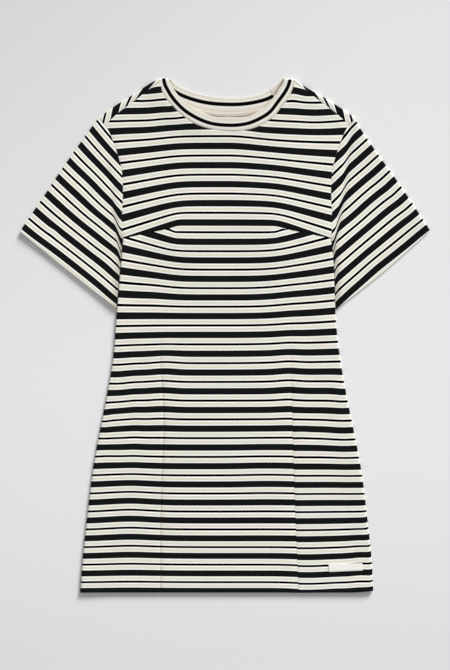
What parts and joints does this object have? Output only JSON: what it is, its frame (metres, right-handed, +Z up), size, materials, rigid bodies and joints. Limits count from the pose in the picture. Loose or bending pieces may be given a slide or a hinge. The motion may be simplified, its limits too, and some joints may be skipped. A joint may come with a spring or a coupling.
{
  "type": "t-shirt dress",
  "caption": "Short-sleeved striped knit t-shirt dress laid flat, front up, with bust darts, tipped ribbed neckband and A-line skirt.",
  "frame": {"origin": "middle of the dress's plan, on the surface it lies on", "axes": "+X to the right as laid with the front up (the wearer's left), +Y from the hem to the neck, +Z up out of the front"},
  "size_m": [0.686, 0.8622, 0.0078],
  "materials": {
    "striped_knit": "matt ribbed knit, cream with wide and narrow black stripes",
    "neck_rib": "matt cream rib knit with one black tipping line",
    "tape": "matt plain cream tape",
    "label_weave": "smooth close woven label, off-white, bare"
  },
  "bodies": {
    "root": {"front": "striped_knit", "back": "striped_knit", "sleeve_left": "striped_knit", "sleeve_right": "striped_knit", "neckband": "neck_rib", "neck_tape": "tape", "hem_label": "label_weave"}
  },
  "joints": []
}
